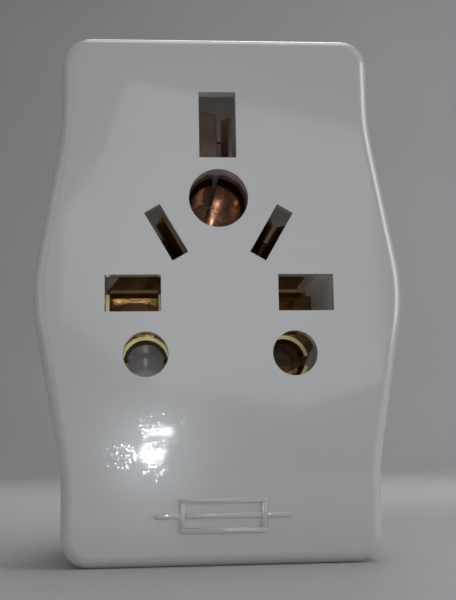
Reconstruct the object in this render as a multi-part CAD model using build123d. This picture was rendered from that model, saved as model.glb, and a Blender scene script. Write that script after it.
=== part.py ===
from build123d import *
from math import cos, radians, sin
import os

# Plug-through socket adapter: a three-pin plug behind, universal socket apertures in front.
# X is to the right seen from the sockets, Z is up (earth on top), the plug pins point to +Y.
# The origin lies on the plug face, midway between the line and neutral pins.
# Depths are counted from the plug face toward the sockets, so y = -depth. All sizes in mm.

# Housing outline
HALF_HEIGHT = 34.2
HALF_END = 20.2
HALF_WAIST = 24.15
WAIST_REACH = 22.4
END_FILLET = 3.5
BEND_FILLET = 30.0
BULGE_FILLET = 24.0

# Housing depth
DEPTH = 34.0
WALL = 2.0
PARTING = 8.0
COVER_BASE = 3.0
EDGE_FILLET = 1.5
REAR_CHAMFER = 0.6
GROOVE = 0.3
LIP = 0.9
LIP_HEIGHT = 1.6
LIP_PLAY = 0.1

# Plug pins and the matching rectangular apertures
PIN_SPREAD = 11.115
PIN_RISE = 22.23
LIVE_PIN = (6.35, 4.0)
EARTH_PIN = (4.0, 8.0)
LIVE_PIN_LENGTH = 17.7
EARTH_PIN_LENGTH = 22.7
PIN_TIP = 1.1
LIVE_SLOT = (7.15, 4.75)
EARTH_SLOT = (4.85, 8.85)
SLEEVE_LENGTH = 9.5
SLEEVE_ROOT = 1.5
SLEEVE_WALL = 0.5
FLANGE = 1.2
FLANGE_THICK = 2.0
RIVET_R = 1.5
RIVET_HEAD_R = 2.3
RIVET_HEAD = 0.8

# Apertures for round and slanted flat pins
ROUND_SPREAD = 9.525
ROUND_DROP = 7.83
ROUND_R = 2.875
EARTH_ROUND_RISE = 12.41
EARTH_ROUND_R = 3.85
FLAT_SLOT = (2.35, 7.25)
FLAT_SPREAD = 6.82
FLAT_RISE = 7.87
FLAT_TILT = 30.0

# Contacts: strips, folded leaves as (leg, pinch, mouth) half gaps, and split tubes
STRIP = 0.8
SPRING = 0.5
STRIP_DEPTH = 8.8
PLATE_THICK = 1.2
STRIP_EDGE = 0.6
PLATE_EDGE = 0.3
PLATE_HEM = 1.2
MOUTH_GAP = 3.4
TUBE_GAP = 3.0
LIVE_GAP = 10.3
LEAF_BEND = 8.0
LEAF_STEP = 3.0
LEAF_FLARE = 2.0
LONG_LEAF = (2.9, -0.25, 2.3)
SHORT_LEAF = (2.9, 1.45, 2.3)
FLAT_LEAF = (1.5, 0.5, 1.45)
FLAT_FLARE = 3.4
LIVE_LEAF = (2.6, 1.5, 2.0)
LIVE_BEND = 5.5
LIVE_FLARE = 1.6
LIVE_LEAF_WIDTH = 6.6
LINE_LEAF_WIDTH = 4.6
LINE_LEAF_SHIFT = -0.4
EARTH_LEAF_WIDTH = 7.4
FLAT_LEAF_WIDTH = 6.0
GUIDE_GAP = 0.1
GUIDE_HEIGHT = 3.2
LIVE_CLIP_R = 2.65
EARTH_CLIP_R = 3.5
CLIP_FLARE = 0.4
CLIP_FLARE_LENGTH = 2.5
CLIP_SLIT = 24.0
EARTH_CLIP_SLIT = 11.0
CLIP_FOOT = 0.6
CLIP_FOOT_EDGE = 0.2
TAIL_HALF = 2.2
PAD_HALF = 3.4
PAD_EDGE = 0.45

# Fuse, its clips and its carrier
FUSE_R = 3.175
FUSE_TUBE_R = 2.95
FUSE_BORE_R = 1.8
FUSE_LENGTH = 25.4
FUSE_CAP = 6.35
FUSE_END = 0.4
FUSE_DROP = 21.0
FUSE_DEPTH = 4.9
CLIP_PLAY = 0.05
CLIP_INNER = 7.45
CLIP_OUTER = 12.25
CARRIER = (31.0, 10.0)
CARRIER_PLATE = 1.6
CARRIER_PLAY = 0.2
CRADLE_HALF = 6.0
CRADLE_WALL = 1.2
CRADLE_DEPTH = 6.9
STOP_DEPTH = 7.2
STOP_THICK = 1.15
STOP_PLAY = 0.15

# Housing screws
SCREW_INSET = 5.0
SCREW_LOW_INSET = 4.5
BOSS_R = 3.2
SCREW_R = 1.45
SCREW_HOLE_R = 1.6
SCREW_HEAD_R = 2.5
SCREW_HEAD = 1.8
SCREW_LENGTH = 13.0
RECESS_R = 2.7

# Contact retainer: walls between the polarities, and fins that hold the contacts down
RIB = 1.0
RIB_END = 10.3
RIB_RISE = 14.8
RIB_DROP = 15.0
RIB_PLAY = 0.1
COLLAR_SIDES = 12
COLLAR_WALL = 0.8
COLLAR_PLAY = 0.2
EARTH_FIN = 5.4
LIVE_FIN_DROP = 3.6
FIN_PLAY = 0.15
LUG = (3.0, 1.5)
LUG_PLAY = 0.6

# Values that follow from the ones above
INNER_FACE = DEPTH - WALL
MOUTH = INNER_FACE - MOUTH_GAP
CLIP_MOUTH = INNER_FACE - TUBE_GAP
LIVE_MOUTH = INNER_FACE - LIVE_GAP
STRIP_TOP = STRIP_DEPTH + STRIP
RIVET_END = STRIP_TOP + RIVET_HEAD
LINE_STRIP_DEPTH = RIVET_END + PLATE_THICK
LINE_STRIP_TOP = LINE_STRIP_DEPTH + STRIP
GUIDE_OUT = LIVE_LEAF_WIDTH / 2 + GUIDE_GAP + SPRING
EARTH_FOOT_R = EARTH_CLIP_R + SPRING + CLIP_FOOT_EDGE
COLLAR_R = EARTH_FOOT_R + STRIP_EDGE - CLIP_FOOT_EDGE - COLLAR_PLAY
FUSE_Z = -FUSE_DROP
CLIP_X = (CLIP_INNER + CLIP_OUTER) / 2
PAD_X = CLIP_OUTER + PAD_EDGE
LEG_MID = FUSE_R + CLIP_PLAY + SPRING / 2
CLIP_BASE_MID = STRIP_DEPTH - SPRING / 2
POCKET = (CARRIER[0] + 2 * CARRIER_PLAY, CARRIER[1] + 2 * CARRIER_PLAY)
STOP_X = FUSE_LENGTH / 2 + STOP_PLAY
WELL = (2 * (STOP_X + STOP_THICK) + 0.6, 2 * (FUSE_TUBE_R + CRADLE_WALL) + 0.6)
SCREW_X = HALF_END - SCREW_INSET
SCREW_TOP = HALF_HEIGHT - SCREW_INSET
SCREW_BOTTOM = SCREW_LOW_INSET - HALF_HEIGHT
SCREW_SPOTS = [(side * SCREW_X, z) for z in (SCREW_TOP, SCREW_BOTTOM) for side in (-1, 1)]


def slab(sketch, near, far):
    """Solid of an X-Z sketch between two depths."""
    plane = Plane((0, -near, 0), x_dir=(1, 0, 0), z_dir=(0, -1, 0))
    return extrude(plane * sketch, amount=far - near)


def rect(x, z, width, height, tilt=0.0):
    return Pos(x, z) * Rot(0, 0, tilt) * Rectangle(width, height)


def disc(x, z, radius):
    return Pos(x, z) * Circle(radius)


def span(x0, x1, z0, z1):
    return rect((x0 + x1) / 2, (z0 + z1) / 2, abs(x1 - x0), abs(z1 - z0))


def rod(x, z, radius, near, far):
    return slab(disc(x, z, radius), near, far)


def outline(inset=0.0):
    """Housing outline: straight ends, slanting flanks, softly rounded bulge."""
    side = [
        (HALF_END, HALF_HEIGHT),
        (HALF_END, WAIST_REACH),
        (HALF_WAIST, 0),
        (HALF_END, -WAIST_REACH),
        (HALF_END, -HALF_HEIGHT),
    ]
    other = [(-x, z) for x, z in reversed(side)]
    bends = [END_FILLET, BEND_FILLET, BULGE_FILLET, BEND_FILLET, END_FILLET]
    face = make_face(FilletPolyline(*side, *other, radius=bends + bends, close=True))
    if inset:
        return offset(face, amount=-inset)
    return Sketch() + face


def folded(x, z, angle, width, line, thick=SPRING):
    """Sheet folded along (offset, depth) points; the offset runs at `angle` in the X-Z plane."""
    a = radians(angle)
    plane = Plane((x, 0, z), x_dir=(cos(a), 0, sin(a)), z_dir=(sin(a), 0, -cos(a)))
    sheet = trace(FilletPolyline(*line, radius=thick * 0.8), line_width=thick)
    return extrude(plane * sheet, amount=width / 2, both=True)


def leaf(x, z, angle, width, gaps, base, top, bend=LEAF_BEND, flare=LEAF_FLARE):
    """One spring leaf: an upright leg, a pinch and a flared mouth."""
    leg, pinch, mouth = gaps
    line = [(leg, base), (leg, top - bend), (pinch, top - flare), (mouth, top)]
    return folded(x, z, angle, width, line)


def round_clip(x, z, radius, base, mouth, slit, turn):
    """Two halves of a slit tube with a flared mouth."""
    inner = [(radius, base), (radius, mouth - CLIP_FLARE_LENGTH), (radius + CLIP_FLARE, mouth)]
    outer = [(r + SPRING, depth) for r, depth in reversed(inner)]
    half = Part()
    for start in (turn + slit / 2, turn + 180 + slit / 2):
        a = radians(start)
        plane = Plane((0, 0, 0), x_dir=(cos(a), 0, -sin(a)), z_dir=(-sin(a), 0, -cos(a)))
        wall = plane * make_face(Polyline(*inner, *outer, close=True))
        half += revolve(wall, Axis.Y, 180 - slit)
    return Pos(x, 0, z) * half


def front_housing():
    shell = slab(outline(), PARTING, DEPTH)
    rim = shell.faces().sort_by(Axis.Y)[0].outer_wire().edges()
    shell = fillet(rim, EDGE_FILLET)
    shell -= slab(outline(WALL), PARTING, INNER_FACE)
    shell -= slab(outline(LIP + LIP_PLAY), PARTING, PARTING + LIP_HEIGHT + LIP_PLAY)
    for x, z in SCREW_SPOTS:
        shell += rod(x, z, BOSS_R, PARTING, INNER_FACE + 0.5)
    holes = rect(0, PIN_RISE, *EARTH_SLOT) + disc(0, EARTH_ROUND_RISE, EARTH_ROUND_R)
    for side in (-1, 1):
        holes += rect(side * PIN_SPREAD, 0, *LIVE_SLOT)
        holes += disc(side * ROUND_SPREAD, -ROUND_DROP, ROUND_R)
        holes += rect(side * FLAT_SPREAD, FLAT_RISE, *FLAT_SLOT, -side * FLAT_TILT)
    shell -= slab(holes, INNER_FACE - 0.5, DEPTH + 1)
    for x, z in SCREW_SPOTS:
        shell -= rod(x, z, SCREW_R, PARTING, PARTING + SCREW_LENGTH - 4.0)
    return shell


def rear_cover():
    tray = slab(outline(), 0, PARTING)
    rim = tray.faces().sort_by(Axis.Y)[-1].outer_wire().edges()
    tray = chamfer(rim, REAR_CHAMFER)
    tray -= slab(outline() - outline(GROOVE), PARTING - GROOVE, PARTING)
    tray -= slab(outline(WALL), COVER_BASE, PARTING)
    lip = outline(LIP + 2 * LIP_PLAY) - outline(WALL)
    for x, z in SCREW_SPOTS:
        lip -= disc(x, z, BOSS_R + 0.3)
    tray += slab(lip, PARTING - 1.0, PARTING + LIP_HEIGHT)
    for x, z in SCREW_SPOTS:
        tray += rod(x, z, BOSS_R, COVER_BASE - 1, PARTING)
    # Bosses that lock the pin flanges, and the fuse compartment
    pins = [(0, PIN_RISE, EARTH_PIN), (-PIN_SPREAD, 0, LIVE_PIN), (PIN_SPREAD, 0, LIVE_PIN)]
    for x, z, size in pins:
        boss = rect(x, z, size[0] + 5.4, size[1] + 5.4)
        tray += slab(boss, COVER_BASE - 1, STRIP_DEPTH)
    fence = rect(0, FUSE_Z, POCKET[0] + 2.4, POCKET[1] + 2.4)
    tray += slab(fence, COVER_BASE - 1, PARTING)
    tray -= slab(rect(0, FUSE_Z, *POCKET), COVER_BASE, PARTING)
    tray -= slab(rect(0, FUSE_Z, *POCKET), -1, CARRIER_PLATE + CARRIER_PLAY)
    tray -= slab(rect(0, FUSE_Z, *WELL), -1, PARTING)
    for x, z, size in pins:
        tray -= slab(rect(x, z, *size), -1, STRIP_DEPTH)
        flange = rect(x, z, size[0] + 2 * FLANGE, size[1] + 2 * FLANGE)
        tray -= slab(flange, STRIP_DEPTH - FLANGE_THICK, STRIP_DEPTH)
    for x, z in SCREW_SPOTS:
        tray -= rod(x, z, SCREW_HOLE_R, -1, PARTING)
        tray -= rod(x, z, RECESS_R, -1, COVER_BASE)
    return tray


def plug_pin(x, z, size, length, sleeved):
    """Solid pin with a bevelled tip, a locking flange and a rivet tail."""
    pin = slab(rect(x, z, *size), -length, STRIP_DEPTH - FLANGE_THICK)
    tip = pin.faces().sort_by(Axis.Y)[-1].edges()
    pin = chamfer(tip, PIN_TIP)
    if sleeved:
        core = rect(x, z, size[0] - 2 * SLEEVE_WALL, size[1] - 2 * SLEEVE_WALL)
        pin -= slab(rect(x, z, *size) - core, -SLEEVE_LENGTH, SLEEVE_ROOT)
    flange = rect(x, z, size[0] + 2 * FLANGE, size[1] + 2 * FLANGE)
    pin += slab(flange, STRIP_DEPTH - FLANGE_THICK, STRIP_DEPTH)
    pin += rod(x, z, RIVET_R, STRIP_DEPTH, STRIP_TOP)
    pin += rod(x, z, RIVET_HEAD_R, STRIP_TOP, RIVET_END)
    return pin


def pin_sleeve(x):
    outer = rect(x, 0, *LIVE_PIN)
    core = rect(x, 0, LIVE_PIN[0] - 2 * SLEEVE_WALL, LIVE_PIN[1] - 2 * SLEEVE_WALL)
    return slab(outer - core, -SLEEVE_LENGTH, SLEEVE_ROOT)


def earth_contact():
    half = EARTH_CLIP_R + SPRING + STRIP_EDGE - COLLAR_PLAY
    top = PIN_RISE + EARTH_PIN[1] / 2 + STRIP_EDGE
    strip = span(-half, half, EARTH_ROUND_RISE, top) + disc(0, EARTH_ROUND_RISE, half)
    strip += rect(0, PIN_RISE, 2 * EARTH_FIN + RIB + STRIP_EDGE, 2 * TAIL_HALF)
    part = slab(strip, STRIP_DEPTH, STRIP_TOP)
    root = STRIP_DEPTH + STRIP / 2
    part += leaf(0, PIN_RISE, 180, EARTH_LEAF_WIDTH, LONG_LEAF, root, MOUTH)
    part += leaf(0, PIN_RISE, 0, EARTH_LEAF_WIDTH, SHORT_LEAF, root, MOUTH - LEAF_STEP)
    return part - rod(0, PIN_RISE, RIVET_R, STRIP_DEPTH, STRIP_TOP)


def earth_round_clip():
    part = rod(0, EARTH_ROUND_RISE, EARTH_FOOT_R, STRIP_TOP, STRIP_TOP + CLIP_FOOT)
    root = STRIP_TOP + CLIP_FOOT / 2
    part += round_clip(0, EARTH_ROUND_RISE, EARTH_CLIP_R, root, CLIP_MOUTH, EARTH_CLIP_SLIT, 90)
    return part


def live_foot(side, edge):
    """Outline that takes in the roots of the three clips, with an edge around them."""
    leaf_w, leaf_h = 2 * (GUIDE_OUT + edge), 2 * (LIVE_LEAF[0] + SPRING / 2 + edge)
    flat_w = 2 * (FLAT_LEAF[0] + SPRING / 2 + edge)
    return make_hull(
        rect(side * PIN_SPREAD, 0, leaf_w, leaf_h).edges()
        + disc(side * ROUND_SPREAD, -ROUND_DROP, LIVE_CLIP_R + SPRING + edge).edges()
        + rect(side * FLAT_SPREAD, FLAT_RISE, flat_w, FLAT_LEAF_WIDTH + edge,
               -side * FLAT_TILT).edges()
    )


def live_contact(side, depth, leaf_x, leaf_width):
    """Line or neutral contact: a strip that carries the clips for all three pin shapes."""
    part = slab(live_foot(side, STRIP_EDGE), depth, depth + STRIP)
    root = depth + STRIP / 2
    for angle in (90, -90):
        part += leaf(leaf_x, 0, angle, leaf_width, LIVE_LEAF, root, LIVE_MOUTH, LIVE_BEND, LIVE_FLARE)
    for turn in (0, 180):
        spot = (side * FLAT_SPREAD, FLAT_RISE, turn - side * FLAT_TILT)
        part += leaf(*spot, FLAT_LEAF_WIDTH, FLAT_LEAF, root, MOUTH, flare=FLAT_FLARE)
    tube = (side * ROUND_SPREAD, -ROUND_DROP, LIVE_CLIP_R)
    part += round_clip(*tube, root, LIVE_MOUTH, CLIP_SLIT, 0)
    return part - rod(*tube, depth, depth + STRIP)


def neutral_contact():
    part = live_contact(-1, STRIP_DEPTH, -PIN_SPREAD, LIVE_LEAF_WIDTH)
    for side in (-1, 1):
        guide = rect(side * (GUIDE_OUT - SPRING / 2) - PIN_SPREAD, 0, SPRING, GUIDE_HEIGHT)
        part += slab(guide, STRIP_DEPTH + STRIP / 2, LIVE_MOUTH)
    return part - rod(-PIN_SPREAD, 0, RIVET_R, STRIP_DEPTH, STRIP_TOP)


def line_contact():
    leaf_x = PIN_SPREAD + LINE_LEAF_SHIFT
    part = live_contact(1, LINE_STRIP_DEPTH, leaf_x, LINE_LEAF_WIDTH)
    low, high = FUSE_Z - TAIL_HALF, FUSE_Z + TAIL_HALF
    right, left = CLIP_X + TAIL_HALF, -PAD_X - STRIP
    tail = span(CLIP_X - TAIL_HALF, right, low, -ROUND_DROP) + span(left, right, low, high)
    part += slab(tail, LINE_STRIP_DEPTH, LINE_STRIP_TOP)
    part += slab(span(left, -PAD_X, low, high), STRIP_DEPTH, LINE_STRIP_TOP)
    pad = span(left, PAD_EDGE - CLIP_INNER, FUSE_Z - PAD_HALF, FUSE_Z + PAD_HALF)
    part += slab(pad, STRIP_DEPTH, STRIP_TOP)
    return part


def contact_retainer():
    """Inner moulding: walls between the polarities, a collar round the earth tube, hold-down fins."""
    spot = Pos(0, EARTH_ROUND_RISE) * Rot(0, 0, 180 / COLLAR_SIDES)
    collar = spot * RegularPolygon(COLLAR_R + COLLAR_WALL, COLLAR_SIDES, major_radius=False)
    bore = spot * RegularPolygon(COLLAR_R, COLLAR_SIDES, major_radius=False)
    walls = span(-HALF_WAIST, HALF_WAIST, RIB_RISE, RIB_RISE + RIB) & outline(WALL + RIB_PLAY)
    walls += span(-RIB / 2, RIB / 2, -RIB_DROP, EARTH_ROUND_RISE)
    part = slab(walls + collar - bore, RIB_END, INNER_FACE)
    middle = RIB_RISE + RIB / 2
    fin_x = PIN_SPREAD + GUIDE_OUT + FIN_PLAY
    lug_z = LIVE_PIN[1] / 2 + LUG_PLAY
    live_fin = span(fin_x, fin_x + RIB, -LIVE_FIN_DROP, middle)
    lug = span(fin_x + RIB - LUG[0], fin_x + RIB, lug_z, lug_z + LUG[1])
    tail_wall = span(-RIB / 2, RIB / 2, FUSE_Z - TAIL_HALF, -RIB_DROP)
    part += slab(live_fin + lug + tail_wall, LINE_STRIP_TOP, INNER_FACE)
    part += slab(mirror(live_fin, Plane.YZ), STRIP_TOP, INNER_FACE)
    for side in (-1, 1):
        fin = side * EARTH_FIN
        part += slab(span(fin - RIB / 2, fin + RIB / 2, middle, PIN_RISE + RIB), STRIP_TOP, INNER_FACE)
    return part


def insulating_plate():
    half = TAIL_HALF + PLATE_HEM
    lower = span(CLIP_X - half, CLIP_X + half, FUSE_Z - PAD_HALF - PLATE_HEM, -ROUND_DROP)
    upper = live_foot(1, STRIP_EDGE + PLATE_EDGE)
    return slab(upper + lower, RIVET_END, LINE_STRIP_DEPTH)


def line_pin_strap():
    boss = rect(PIN_SPREAD, 0, LIVE_LEAF_WIDTH + STRIP_EDGE, 2 * (RIVET_HEAD_R + 2 * STRIP_EDGE))
    strap = span(CLIP_X - TAIL_HALF, CLIP_X + TAIL_HALF, FUSE_Z, 0)
    strap += span(CLIP_INNER - PAD_EDGE, PAD_X, FUSE_Z - PAD_HALF, FUSE_Z + PAD_HALF)
    part = slab(boss + strap, STRIP_DEPTH, STRIP_TOP)
    return part - rod(PIN_SPREAD, 0, RIVET_R, STRIP_DEPTH, STRIP_TOP)


def fuse_clip(side):
    line = [
        (-LEG_MID - 0.6, COVER_BASE + 0.2),
        (-LEG_MID, FUSE_DEPTH - 0.5),
        (-LEG_MID, CLIP_BASE_MID),
        (LEG_MID, CLIP_BASE_MID),
        (LEG_MID, FUSE_DEPTH - 0.5),
        (LEG_MID + 0.6, COVER_BASE + 0.2),
    ]
    return folded(side * CLIP_X, FUSE_Z, 90, CLIP_OUTER - CLIP_INNER, line)


def along_x(radius, x0, x1):
    plane = Plane((x0, -FUSE_DEPTH, FUSE_Z), x_dir=(0, 1, 0), z_dir=(1, 0, 0))
    return extrude(plane * Circle(radius), amount=x1 - x0)


def fuse_tube():
    half = FUSE_LENGTH / 2 - FUSE_END
    return along_x(FUSE_TUBE_R, -half, half) - along_x(FUSE_BORE_R, -half, half)


def fuse_cap(side):
    end = side * FUSE_LENGTH / 2
    mouth = end - side * FUSE_CAP
    seat = end - side * FUSE_END
    cap = along_x(FUSE_R, min(end, mouth), max(end, mouth))
    rim = cap.faces().sort_by(Axis.X)[-1 if side > 0 else 0].edges()
    cap = chamfer(rim, 0.3)
    return cap - along_x(FUSE_TUBE_R, min(seat, mouth), max(seat, mouth))


def fuse_carrier():
    """Flush plate with a snap cradle for the fuse, end stops and a pry notch."""
    part = slab(rect(0, FUSE_Z, *CARRIER), 0, CARRIER_PLATE)
    cradle = rect(0, FUSE_Z, 2 * CRADLE_HALF, 2 * (FUSE_TUBE_R + CRADLE_WALL))
    part += slab(cradle, CARRIER_PLATE, CRADLE_DEPTH)
    for side in (-1, 1):
        stop = rect(side * (STOP_X + STOP_THICK / 2), FUSE_Z, STOP_THICK, 5.2)
        part += slab(stop, CARRIER_PLATE, STOP_DEPTH)
    part -= along_x(FUSE_TUBE_R, -CRADLE_HALF - 1, CRADLE_HALF + 1)
    part -= slab(rect(0, FUSE_Z - CARRIER[1] / 2, 6.0, 2.0), -1, 0.9)
    return part


def housing_screw(x, z):
    head = COVER_BASE - SCREW_HEAD
    part = rod(x, z, SCREW_HEAD_R, head, COVER_BASE)
    part += rod(x, z, SCREW_R, COVER_BASE, SCREW_LENGTH)
    cross = rect(x, z, 2.9, 0.6) + rect(x, z, 0.6, 2.9)
    return part - slab(cross, head - 1, head + 0.9)


def build():
    parts = {
        "front_housing": front_housing(),
        "rear_cover": rear_cover(),
        "earth_pin": plug_pin(0, PIN_RISE, EARTH_PIN, EARTH_PIN_LENGTH, False),
        "line_pin": plug_pin(PIN_SPREAD, 0, LIVE_PIN, LIVE_PIN_LENGTH, True),
        "neutral_pin": plug_pin(-PIN_SPREAD, 0, LIVE_PIN, LIVE_PIN_LENGTH, True),
        "line_pin_sleeve": pin_sleeve(PIN_SPREAD),
        "neutral_pin_sleeve": pin_sleeve(-PIN_SPREAD),
        "earth_contact": earth_contact(),
        "earth_round_clip": earth_round_clip(),
        "line_contact": line_contact(),
        "neutral_contact": neutral_contact(),
        "contact_retainer": contact_retainer(),
        "insulating_plate": insulating_plate(),
        "line_pin_strap": line_pin_strap(),
        "fuse_clip_right": fuse_clip(1),
        "fuse_clip_left": fuse_clip(-1),
        "fuse_carrier": fuse_carrier(),
        "fuse_tube": fuse_tube(),
        "fuse_cap_right": fuse_cap(1),
        "fuse_cap_left": fuse_cap(-1),
    }
    for number, (x, z) in enumerate(SCREW_SPOTS, start=1):
        parts[f"housing_screw_{number}"] = housing_screw(x, z)
    os.makedirs("parts", exist_ok=True)
    for name, shape in parts.items():
        export_step(shape, f"parts/{name}.step")
        solids = len(shape.solids())
        print(name, solids, round(shape.volume, 1))


build()
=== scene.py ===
import bpy
import bmesh
import math
from mathutils import Matrix, Vector


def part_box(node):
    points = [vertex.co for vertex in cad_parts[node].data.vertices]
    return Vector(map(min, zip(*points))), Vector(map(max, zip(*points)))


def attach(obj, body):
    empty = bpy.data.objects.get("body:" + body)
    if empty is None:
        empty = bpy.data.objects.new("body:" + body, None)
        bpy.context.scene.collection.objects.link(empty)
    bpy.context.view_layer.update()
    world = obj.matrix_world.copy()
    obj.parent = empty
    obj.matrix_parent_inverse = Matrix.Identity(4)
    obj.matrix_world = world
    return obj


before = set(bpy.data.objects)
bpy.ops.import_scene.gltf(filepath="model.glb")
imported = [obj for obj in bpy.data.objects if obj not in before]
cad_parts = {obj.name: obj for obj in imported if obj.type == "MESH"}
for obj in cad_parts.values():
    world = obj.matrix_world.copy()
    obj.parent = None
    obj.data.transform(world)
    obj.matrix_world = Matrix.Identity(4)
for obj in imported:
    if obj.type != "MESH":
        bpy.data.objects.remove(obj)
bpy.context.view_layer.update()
scene = bpy.context.scene
scene.view_settings.view_transform = "Standard"

MM = 0.001
FACE_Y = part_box("front_housing")[0][1]
FLOOR_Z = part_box("front_housing")[0][2]


# Moulded plastic: places of the scuffs and of the earth tube as (x, z, radius) in mm; round the
# earth tube the painted glow is left off

SCUFFS = [(-12.2, -19.9, 2.5), (-8.4, -15.6, 2.3), (-7.6, -18.6, 1.6), (-7.0, -21.8, 1.6),
          (-9.0, -22.6, 1.2), (-4.4, -15.2, 1.5), (-2.4, -19.4, 1.2), (-14.2, -21.4, 0.9),
          (-11.6, -25.3, 0.7), (-10.1, -25.2, 0.7), (-12.4, -14.6, 1.0)]
SCUFF_RAGGED = 1.6
EARTH_TUBE = (0, 12.41, 7.2)

# Scratches: turns in degrees, stretch of the noise across and along, and how much of it shows
SCRATCH_TURNS = (8, 38, 68, 98, 128, 158)
SCRATCH_ACROSS = 3600.0
SCRATCH_ALONG = 800.0
SCRATCH_KEEP = 0.58
SCRATCH_SOFT = 0.12

# Painted glow: emission on the inner walls of the white mouldings, painted light that brightens
# them, seen on the inside only
PAINTED_GLOW = 0.028
PAINTED_GLOW_COLOUR = (1.0, 0.87, 0.80, 1)

# Metal: stretch of the brushing, painted shade deep inside, and colour and depth (mm) of the
# painted highlight on the front edges
ROLLED = (2200, 2200, 60)
DRAWN = (60, 30, 2400)
TURNED = (60, 2400, 2400)
DEEP_SHADE_COLOUR = (0.16, 0.075, 0.03)
EDGE_HIGHLIGHT_COLOUR = (0.80, 0.68, 0.33)
LIVE_LIP = 21.7

# Noise patterns: scale, detail and, where it isn't plain, roughness
FLOW = (38.0, 3.0)
HAZE = (85.0, 4.0, 0.6)
WAVE = (42.0, 1.0)
FAINT_SCUFFS = (75.0, 3.0, 0.6)
SCRATCH = (1.0, 1.0, 0.4)
TARNISH = (210.0, 5.0, 0.62)
DULLNESS = (420.0, 3.0)
DENT = (300.0, 2.0)
BRUSHING = (1.0, 2.0)
FINE_GRAIN = (1500.0, 2.0)
SATIN = (260.0, 3.0)
SPECKLE = (900.0, 3.0)
POROUS = (2400.0, 3.0)
FIBRE = (1.0, 4.0)
WANDER_SCALE = 420.0

# Depths of the relief that each pattern gives, in mm
WAVE_DEPTH = 0.02
MOULD_GRAIN_DEPTH = 0.0006
SCUFF_DEPTH = 0.0038
DENT_DEPTH = 0.04
BRUSHING_DEPTH = 0.0024
SATIN_DEPTH = 0.006
POROUS_DEPTH = 0.008
FIBRE_DEPTH = 0.01


# Node helpers

def new_material(name):
    mat = bpy.data.materials.new(name)
    mat.use_nodes = True
    tree = mat.node_tree
    tree.nodes.clear()
    out = tree.nodes.new("ShaderNodeOutputMaterial")
    shader = tree.nodes.new("ShaderNodeBsdfPrincipled")
    tree.links.new(shader.outputs[0], out.inputs["Surface"])
    return mat, tree, shader


def coords(tree, turn=(0, 0, 0), scale=(1, 1, 1)):
    """Object coordinates, turned first and then stretched."""
    source = tree.nodes.new("ShaderNodeTexCoord")
    turned = tree.nodes.new("ShaderNodeMapping")
    turned.inputs["Rotation"].default_value = [math.radians(a) for a in turn]
    stretched = tree.nodes.new("ShaderNodeMapping")
    stretched.inputs["Scale"].default_value = scale
    tree.links.new(source.outputs["Object"], turned.inputs["Vector"])
    tree.links.new(turned.outputs["Vector"], stretched.inputs["Vector"])
    return stretched.outputs["Vector"]


def surface_normal(tree):
    return tree.nodes.new("ShaderNodeTexCoord").outputs["Normal"]


def axis_value(tree, vector, axis):
    split = tree.nodes.new("ShaderNodeSeparateXYZ")
    tree.links.new(vector, split.inputs[0])
    return split.outputs[axis]


def vector_math(tree, operation, vector, fixed):
    """One vector node whose second input is a fixed vector."""
    node = tree.nodes.new("ShaderNodeVectorMath")
    node.operation = operation
    node.inputs[1].default_value = fixed
    tree.links.new(vector, node.inputs[0])
    return node


def noise(tree, vector, scale, detail=2.0, rough=0.5):
    node = tree.nodes.new("ShaderNodeTexNoise")
    node.inputs["Scale"].default_value = scale
    node.inputs["Detail"].default_value = detail
    node.inputs["Roughness"].default_value = rough
    tree.links.new(vector, node.inputs["Vector"])
    return node.outputs["Fac"]


def ramp(tree, value, low, high, start=0.0, end=1.0):
    node = tree.nodes.new("ShaderNodeMapRange")
    node.inputs["From Min"].default_value = low
    node.inputs["From Max"].default_value = high
    node.inputs["To Min"].default_value = start
    node.inputs["To Max"].default_value = end
    tree.links.new(value, node.inputs["Value"])
    return node.outputs["Result"]


def blend_colour(tree, value, first, second):
    """Mix of two colours, each a fixed one or a socket."""
    node = tree.nodes.new("ShaderNodeMix")
    node.data_type = "RGBA"
    for place, colour in ((6, first), (7, second)):
        if isinstance(colour, tuple):
            node.inputs[place].default_value = (*colour, 1)
        else:
            tree.links.new(colour, node.inputs[place])
    tree.links.new(value, node.inputs[0])
    return node.outputs[2]


def combine(tree, first, second, operation="ADD"):
    node = tree.nodes.new("ShaderNodeMath")
    node.operation = operation
    tree.links.new(first, node.inputs[0])
    tree.links.new(second, node.inputs[1])
    return node.outputs[0]


def bump(tree, height, depth, under=None):
    """Relief of the given depth in mm, on top of another one if given."""
    node = tree.nodes.new("ShaderNodeBump")
    node.inputs["Distance"].default_value = depth * MM
    tree.links.new(height, node.inputs["Height"])
    if under is not None:
        tree.links.new(under, node.inputs["Normal"])
    return node.outputs["Normal"]


# Patterns on the moulded plastic

def spots(tree, vector, places, edge=0.45):
    """Soft patches seen along Y: 1 in the middle of each (x, z, radius), 0 outside, in mm."""
    total = None
    for x, z, radius in places:
        away = vector_math(tree, "DISTANCE", vector, (x * MM, 0, z * MM))
        patch = ramp(tree, away.outputs["Value"], radius * MM, radius * MM * edge)
        total = patch if total is None else combine(tree, total, patch, "MAXIMUM")
    return total


def hairlines(tree, turns):
    """Sum of short thin scratches, each set turned in the X-Z plane."""
    total = None
    for number, turn in enumerate(turns):
        stretch = (SCRATCH_ACROSS, 400 + 37 * number, SCRATCH_ALONG)
        pattern = noise(tree, coords(tree, (0, turn, 0), stretch), *SCRATCH)
        lines = ramp(tree, pattern, SCRATCH_KEEP, SCRATCH_KEEP + SCRATCH_SOFT)
        total = lines if total is None else combine(tree, total, lines)
    return total


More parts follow.
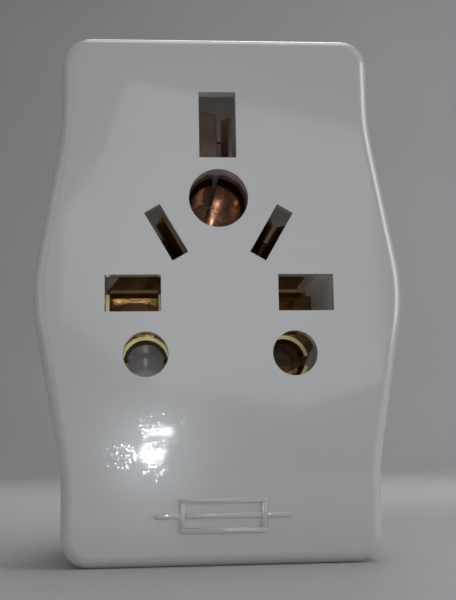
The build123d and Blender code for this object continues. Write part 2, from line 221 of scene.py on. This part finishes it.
def scuffs(tree, plain, turns):
    """Hairlines, strong in the ragged scuff patches and faint in clouds elsewhere."""
    faint = ramp(tree, noise(tree, plain, *FAINT_SCUFFS), 0.46, 0.62, 0.04, 0.3)
    wander = tree.nodes.new("ShaderNodeTexNoise")
    wander.inputs["Scale"].default_value = WANDER_SCALE
    tree.links.new(plain, wander.inputs["Vector"])
    ragged = vector_math(tree, "MULTIPLY_ADD", wander.outputs["Color"], [SCUFF_RAGGED * MM] * 3)
    tree.links.new(coords(tree, scale=(1, 0, 1)), ragged.inputs[2])
    patches = combine(tree, spots(tree, ragged.outputs["Vector"], SCUFFS), faint, "MAXIMUM")
    return combine(tree, hairlines(tree, turns), patches, "MULTIPLY")


def inward(tree):
    """1 on surfaces that face the middle of the housing, 0 on its outside."""
    place = vector_math(tree, "SUBTRACT", coords(tree), (0, FACE_Y / 2, 0))
    along = tree.nodes.new("ShaderNodeVectorMath")
    along.operation = "DOT_PRODUCT"
    tree.links.new(place.outputs["Vector"], along.inputs[0])
    tree.links.new(surface_normal(tree), along.inputs[1])
    return ramp(tree, along.outputs["Value"], -0.2 * MM, -1.2 * MM)


def painted_wall_glow(tree, shader, glow):
    """Painted glow: warm emission that paints light on the inner walls, with none near the earth
    tube.
    """
    painted_glow = ramp(tree, inward(tree), 0, 1, 0, glow)
    shade = ramp(tree, spots(tree, coords(tree, scale=(1, 0, 1)), [EARTH_TUBE], 0.9), 1, 0)
    shader.inputs["Emission Color"].default_value = PAINTED_GLOW_COLOUR
    strength = combine(tree, painted_glow, shade, "MULTIPLY")
    tree.links.new(strength, shader.inputs["Emission Strength"])


# Kinds of material

def moulded(name, colour, deep, rough=0.2, turns=SCRATCH_TURNS, coat=0.7):
    """Injection-moulded plastic: polished skin, faint flow waves, patches of fine scuffs and a
    painted glow on the inner walls.
    """
    mat, tree, shader = new_material(name)
    plain = coords(tree)
    tint = ramp(tree, noise(tree, plain, *FLOW), 0.35, 0.7)
    tree.links.new(blend_colour(tree, tint, colour, deep), shader.inputs["Base Color"])
    haze = ramp(tree, noise(tree, plain, *HAZE), 0.3, 0.75, rough - 0.03, rough + 0.06)
    tree.links.new(haze, shader.inputs["Roughness"])
    shader.inputs["IOR"].default_value = 1.53
    shader.inputs["Specular IOR Level"].default_value = 0.25
    shader.inputs["Coat Weight"].default_value = coat
    shader.inputs["Coat Roughness"].default_value = 0.035
    wave = bump(tree, noise(tree, plain, *WAVE), WAVE_DEPTH)
    grain = bump(tree, noise(tree, plain, *FINE_GRAIN), MOULD_GRAIN_DEPTH, wave)
    skin = bump(tree, scuffs(tree, plain, turns), SCUFF_DEPTH, grain)
    tree.links.new(skin, shader.inputs["Normal"])
    tree.links.new(skin, shader.inputs["Coat Normal"])
    painted_wall_glow(tree, shader, PAINTED_GLOW)
    return mat


def sheet_metal(name, colour, tarnish, rough=0.2, amount=0.55, brushed=ROLLED,
                lip=None, deep_shade=None, uneven=1.0):
    """Rolled strip: tarnish clouds, rolling lines, dull patches, painted shade deep inside and a
    painted highlight on the front edges.
    """
    mat, tree, shader = new_material(name)
    plain = coords(tree)
    clouds = ramp(tree, noise(tree, plain, *TARNISH), 0.42, 0.7, 0.0, amount)
    tone = blend_colour(tree, clouds, colour, tarnish)
    dull = ramp(tree, noise(tree, plain, *DULLNESS), 0.35, 0.7, rough, rough + 0.2 * uneven)
    depth = axis_value(tree, plain, "Y")
    # Painted shade: the metal darkens towards the inside, from the first depth to the second (mm
    # along Y)
    if deep_shade:
        deep_shade_mix = ramp(tree, depth, deep_shade[0] * MM, deep_shade[1] * MM, 0.0, 0.85)
        tone = blend_colour(tree, deep_shade_mix, tone, DEEP_SHADE_COLOUR)
    # Painted highlight: lighter colour on the front-facing edges near the mouths, which are also
    # made rougher
    if lip:
        front = ramp(tree, axis_value(tree, surface_normal(tree), "Y"), -0.5, -0.8)
        near = ramp(tree, depth, (0.7 - lip) * MM, (0.5 - lip) * MM)
        edge_highlight = combine(tree, front, near, "MULTIPLY")
        tone = blend_colour(tree, edge_highlight, tone, EDGE_HIGHLIGHT_COLOUR)
        dull = combine(tree, dull, ramp(tree, edge_highlight, 0, 1, 0, 0.25))
    tree.links.new(tone, shader.inputs["Base Color"])
    tree.links.new(dull, shader.inputs["Roughness"])
    shader.inputs["Metallic"].default_value = 1.0
    dents = bump(tree, noise(tree, plain, *DENT), DENT_DEPTH * uneven)
    lines = noise(tree, coords(tree, scale=brushed), *BRUSHING)
    tree.links.new(bump(tree, lines, BRUSHING_DEPTH, dents), shader.inputs["Normal"])
    return mat


def satin_black(name):
    mat, tree, shader = new_material(name)
    shader.inputs["Base Color"].default_value = (0.022, 0.022, 0.024, 1)
    haze = ramp(tree, noise(tree, coords(tree), *SATIN), 0.3, 0.7, 0.34, 0.5)
    tree.links.new(haze, shader.inputs["Roughness"])
    grain = noise(tree, coords(tree), *FINE_GRAIN)
    tree.links.new(bump(tree, grain, SATIN_DEPTH), shader.inputs["Normal"])
    return mat


def unglazed(name):
    mat, tree, shader = new_material(name)
    speckle = ramp(tree, noise(tree, coords(tree), *SPECKLE), 0.45, 0.75)
    tone = blend_colour(tree, speckle, (0.80, 0.77, 0.69), (0.66, 0.62, 0.54))
    tree.links.new(tone, shader.inputs["Base Color"])
    shader.inputs["Roughness"].default_value = 0.62
    grain = noise(tree, coords(tree), *POROUS)
    tree.links.new(bump(tree, grain, POROUS_DEPTH), shader.inputs["Normal"])
    return mat


def pressed_board(name):
    mat, tree, shader = new_material(name)
    stretch = coords(tree, scale=(300, 300, 1200))
    fibre = ramp(tree, noise(tree, stretch, *FIBRE), 0.35, 0.7)
    tone = blend_colour(tree, fibre, (0.16, 0.085, 0.045), (0.27, 0.16, 0.09))
    tree.links.new(tone, shader.inputs["Base Color"])
    shader.inputs["Roughness"].default_value = 0.58
    tree.links.new(bump(tree, fibre, FIBRE_DEPTH), shader.inputs["Normal"])
    return mat


# Materials of the nodes

WHITE = moulded("white_moulding", (0.452, 0.451, 0.451), (0.436, 0.436, 0.436))
COVER = moulded("cover_moulding", (0.447, 0.448, 0.45), (0.428, 0.429, 0.432), 0.24, (33, 95, 150))
CARRIER = moulded("carrier_moulding", (0.438, 0.439, 0.441), (0.418, 0.419, 0.422), 0.28, (5, 88))
# The retainer is painted lighter than the other white mouldings: painted light that brightens it
# where it lies in shade inside the housing
RETAINER = moulded("retainer_moulding", (0.66, 0.65, 0.635), (0.61, 0.60, 0.585), 0.5, (60,), 0.0)
BRASS = sheet_metal("contact_brass", (0.64, 0.47, 0.17), (0.20, 0.09, 0.035), 0.11, 0.8,
                    lip=LIVE_LIP, deep_shade=(-18, -12))
EARTH = sheet_metal("earth_strip", (0.78, 0.69, 0.64), (0.42, 0.22, 0.18), 0.3)
BRONZE = sheet_metal("phosphor_bronze", (0.36, 0.20, 0.13), (0.06, 0.025, 0.012), 0.12, 0.85)
CLIP = sheet_metal("clip_strip", (0.74, 0.58, 0.26), (0.34, 0.2, 0.08), 0.2)
PIN = sheet_metal("pin_brass", (0.80, 0.65, 0.34), (0.62, 0.45, 0.2), 0.2, 0.15, DRAWN,
                  deep_shade=(-3, -7), uneven=0.2)
CAPS = sheet_metal("cap_metal", (0.70, 0.68, 0.64), (0.45, 0.42, 0.37), 0.24, 0.4, TURNED)
STEEL = sheet_metal("screw_steel", (0.60, 0.61, 0.62), (0.36, 0.35, 0.34), 0.26, 0.4)
SLEEVE = satin_black("pin_insulation")
CERAMIC = unglazed("tube_ceramic")
BOARD = pressed_board("insulating_board")


def give(mat, *names):
    for name in names:
        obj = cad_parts[name]
        obj.data.materials.clear()
        obj.data.materials.append(mat)


give(WHITE, "front_housing")
give(COVER, "rear_cover")
give(CARRIER, "fuse_carrier")
give(RETAINER, "contact_retainer")
give(BRASS, "line_contact", "neutral_contact", "line_pin_strap")
give(EARTH, "earth_contact")
give(BRONZE, "earth_round_clip")
give(CLIP, "fuse_clip_right", "fuse_clip_left")
give(PIN, "earth_pin", "line_pin", "neutral_pin")
give(CAPS, "fuse_cap_right", "fuse_cap_left")
give(STEEL, *[f"housing_screw_{n}" for n in range(1, 5)])
give(SLEEVE, "line_pin_sleeve", "neutral_pin_sleeve")
give(CERAMIC, "fuse_tube")
give(BOARD, "insulating_plate")


def add_object(name, mesh):
    obj = bpy.data.objects.new(name, mesh)
    bpy.context.collection.objects.link(obj)
    return obj


# Raised mark on the face: a plain fuse symbol, a box with a line through it, in mm

MARK_HALF_WIDTH = 5.4
MARK_HALF_HEIGHT = 2.15
MARK_REACH = 8.5
MARK_RIB = 0.62
MARK_PROUD = 0.22
MARK_SUNK = 0.02
MARK_Z = -28.0
MARK_EDGE = 0.09
MARK_MERGE = 0.0005


def rib(shape, x0, x1, z0, z1):
    """One raised rib with its foot sunk a little into the face."""
    made = bmesh.ops.create_cube(shape, size=1.0)
    for vert in made["verts"]:
        vert.co = (x0 + (vert.co.x + 0.5) * (x1 - x0),
                   -MARK_PROUD + (vert.co.y + 0.5) * (MARK_PROUD + MARK_SUNK),
                   z0 + (vert.co.z + 0.5) * (z1 - z0))


def fuse_mark():
    shape = bmesh.new()
    half_w, half_h, half_rib = MARK_HALF_WIDTH, MARK_HALF_HEIGHT, MARK_RIB / 2
    inner_w, inner_h = half_w - MARK_RIB, half_h - MARK_RIB
    rib(shape, -half_w, half_w, inner_h, half_h)
    rib(shape, -half_w, half_w, -half_h, -inner_h)
    rib(shape, -half_w, -inner_w, -inner_h, inner_h)
    rib(shape, inner_w, half_w, -inner_h, inner_h)
    rib(shape, -MARK_REACH, -half_w, -half_rib, half_rib)
    rib(shape, half_w, MARK_REACH, -half_rib, half_rib)
    rib(shape, -inner_w, inner_w, -half_rib, half_rib)
    bmesh.ops.remove_doubles(shape, verts=shape.verts, dist=MARK_MERGE)
    bmesh.ops.scale(shape, vec=(MM, MM, MM), verts=shape.verts)
    mesh = bpy.data.meshes.new("fuse_mark")
    shape.to_mesh(mesh)
    shape.free()
    obj = add_object("fuse_mark", mesh)
    mesh.transform(Matrix.Translation((0, FACE_Y, MARK_Z * MM)))
    soft = obj.modifiers.new("edge", "BEVEL")
    soft.width = MARK_EDGE * MM
    soft.segments = 3
    soft.limit_method = "ANGLE"
    for polygon in mesh.polygons:
        polygon.use_smooth = True
    mesh.materials.append(WHITE)
    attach(obj, "housing")


fuse_mark()


# Floor and backdrop in one sweep, in metres, with a light patch of floor in front

FLOOR_FRONT = -1.4
FLOOR_SIDE = 1.2
WALL_Y = 0.9
WALL_TOP = 1.2
BEND = 0.45
BEND_STEPS = 16
PATCH_Y = -0.335
PATCH_OUTER = 0.26
PATCH_INNER = 0.22
# Painted shade across the wall: darker at the left, lighter at the right
WALL_LEFT = (0.48, 0.48, 0.49)
WALL_RIGHT = (0.76, 0.745, 0.765)
# Painted grey for the floor near the part, tuned against the part's shadow and the light there
NEAR_FLOOR = (0.425, 0.42, 0.43)
LIGHT_PATCH = (0.86, 0.86, 0.865)
PAPER_CLOUDS = (2.6, 4.0, 0.6)
PAPER_GRAIN = (700.0, 2.0)
PAPER_DEPTH = 0.02


def paper_material():
    """Matt paper with painted shade: darker to the left and lighter to the right on the wall, and
    a set grey near the part that is tuned against its shadow on the floor.
    """
    mat, tree, shader = new_material("backdrop_paper")
    plain = coords(tree)
    clouds = ramp(tree, noise(tree, plain, *PAPER_CLOUDS), 0.3, 0.7, -0.12, 0.12)
    # Painted shade: the wall turns darker to the left and lighter to the right, with random clouds
    # on top
    shade = combine(tree, ramp(tree, axis_value(tree, plain, "X"), -0.22, 0.36), clouds)
    wall = blend_colour(tree, shade, WALL_LEFT, WALL_RIGHT)
    # Painted light and shade near the part: the floor there takes a set grey instead of the wall's
    # painted shade
    near = ramp(tree, axis_value(tree, plain, "Y"), 0.16, 0.04)
    paint = blend_colour(tree, near, wall, NEAR_FLOOR)
    away = vector_math(tree, "DISTANCE", plain, (0, PATCH_Y, FLOOR_Z))
    front = ramp(tree, away.outputs["Value"], PATCH_OUTER, PATCH_INNER)
    paint = blend_colour(tree, front, paint, LIGHT_PATCH)
    tree.links.new(paint, shader.inputs["Base Color"])
    shader.inputs["Roughness"].default_value = 0.8
    grain = noise(tree, plain, *PAPER_GRAIN)
    tree.links.new(bump(tree, grain, PAPER_DEPTH), shader.inputs["Normal"])
    return mat


def backdrop():
    shape = bmesh.new()
    profile = [(FLOOR_FRONT, 0.0)]
    for step in range(BEND_STEPS + 1):
        turned = math.radians(90 * step / BEND_STEPS)
        y = WALL_Y - BEND + BEND * math.sin(turned)
        profile.append((y, BEND - BEND * math.cos(turned)))
    profile.append((WALL_Y, WALL_TOP))
    rows = []
    for side in (-FLOOR_SIDE, FLOOR_SIDE):
        rows.append([shape.verts.new((side, y, FLOOR_Z + z)) for y, z in profile])
    for k in range(len(profile) - 1):
        shape.faces.new((rows[0][k], rows[1][k], rows[1][k + 1], rows[0][k + 1]))
    mesh = bpy.data.meshes.new("backdrop")
    shape.to_mesh(mesh)
    shape.free()
    for polygon in mesh.polygons:
        polygon.use_smooth = True
    obj = add_object("backdrop", mesh)
    mesh.materials.append(paper_material())


backdrop()


# Window that the glossy face mirrors: X and Z of its corners, and how far it is in front, in mm

WINDOW_Y = -434
WINDOW = [(-18, 173), (109, 147), (114, 14), (68, 0), (-3, 13), (-52, 46), (-52, 101), (-30, 135)]
WINDOW_GLOW = 1.75


def window():
    """A flat bright sheet that the camera doesn't see and that casts no shadow."""
    mesh = bpy.data.meshes.new("window")
    corners = [Vector((x, WINDOW_Y, z)) * MM for x, z in WINDOW]
    mesh.from_pydata(corners, [], [range(len(corners))])
    obj = add_object("window", mesh)
    obj.visible_camera = False
    obj.visible_shadow = False
    mat, tree, shader = new_material("window")
    shader.inputs["Base Color"].default_value = (0, 0, 0, 1)
    shader.inputs["Emission Color"].default_value = (0.95, 0.98, 1.0, 1)
    shader.inputs["Emission Strength"].default_value = WINDOW_GLOW
    mesh.materials.append(mat)


window()


# Lamps: place and target in metres, width and height in metres, power in watts

PLAIN_LIGHT = (1.0, 1.0, 1.0)
WARM_LIGHT = (1.0, 0.99, 0.97)
COOL_LIGHT = (0.95, 0.98, 1.0)
FLASH_LIGHT = (0.86, 0.94, 1.0)
FLASH_Y = -0.172
FLASH_SPREAD = 80
SKY_COLOUR = (0.97, 0.98, 1.0, 1)
SKY_STRENGTH = 0.265


def lamp(name, place, target, width, height, power, colour, spread=180):
    """An area lamp: a rectangle, or a disc where the height is None."""
    data = bpy.data.lights.new(name, "AREA")
    data.shape = "RECTANGLE" if height else "DISK"
    data.size = width
    if height:
        data.size_y = height
    data.energy = power
    data.color = colour
    data.spread = math.radians(spread)
    obj = add_object(name, data)
    place = Vector(place)
    obj.location = place
    obj.rotation_euler = (Vector(target) - place).to_track_quat("-Z", "Y").to_euler()


def flash(name, x, z, size, power):
    """One disc of the flash beside the camera lens, aimed straight along Y."""
    lamp(name, (x, FLASH_Y, z), (x, FACE_Y, z), size, None, power, FLASH_LIGHT, FLASH_SPREAD)


lamp("key", (0.52, -0.22, 0.13), (0, -0.02, 0), 0.36, 0.30, 1.36, WARM_LIGHT)
lamp("fill", (-0.5, -0.47, 0.13), (0, -0.02, 0), 0.5, 0.30, 0.42, COOL_LIGHT)
lamp("rear", (0.12, 0.62, 0.62), (0, 0, 0), 0.45, 0.40, 0.085, PLAIN_LIGHT, spread=35)
lamp("top", (0.05, 0.0, 0.6), (0, 0, 0), 0.4, None, 0.8, PLAIN_LIGHT)
flash("flash", -0.0091, -0.0204, 0.0030, 0.0026)
flash("flash_low", -0.0050, -0.0148, 0.0010, 0.00027)

world = bpy.data.worlds.new("studio")
scene.world = world
world.use_nodes = True
sky = world.node_tree.nodes["Background"]
sky.inputs["Color"].default_value = SKY_COLOUR
sky.inputs["Strength"].default_value = SKY_STRENGTH


# Camera, as found from the eight apertures in the photo

CAMERA_PLACE = (-0.009418, -0.166552, -0.019883)
CAMERA_RIGHT = Vector((0.996966, -0.075993, -0.016829))
CAMERA_UP = Vector((0.005915, -0.141625, 0.989903))
CAMERA_FORWARD = Vector((0.077609, 0.986999, 0.140746))

camera_data = bpy.data.cameras.new("camera")
camera_data.lens = 63.0
camera_data.sensor_width = 36.0
camera_data.clip_start = 0.005
camera = add_object("camera", camera_data)
turn = Matrix((CAMERA_RIGHT, CAMERA_UP, -CAMERA_FORWARD)).transposed()
camera.matrix_world = Matrix.Translation(CAMERA_PLACE) @ turn.to_4x4()
scene.camera = camera
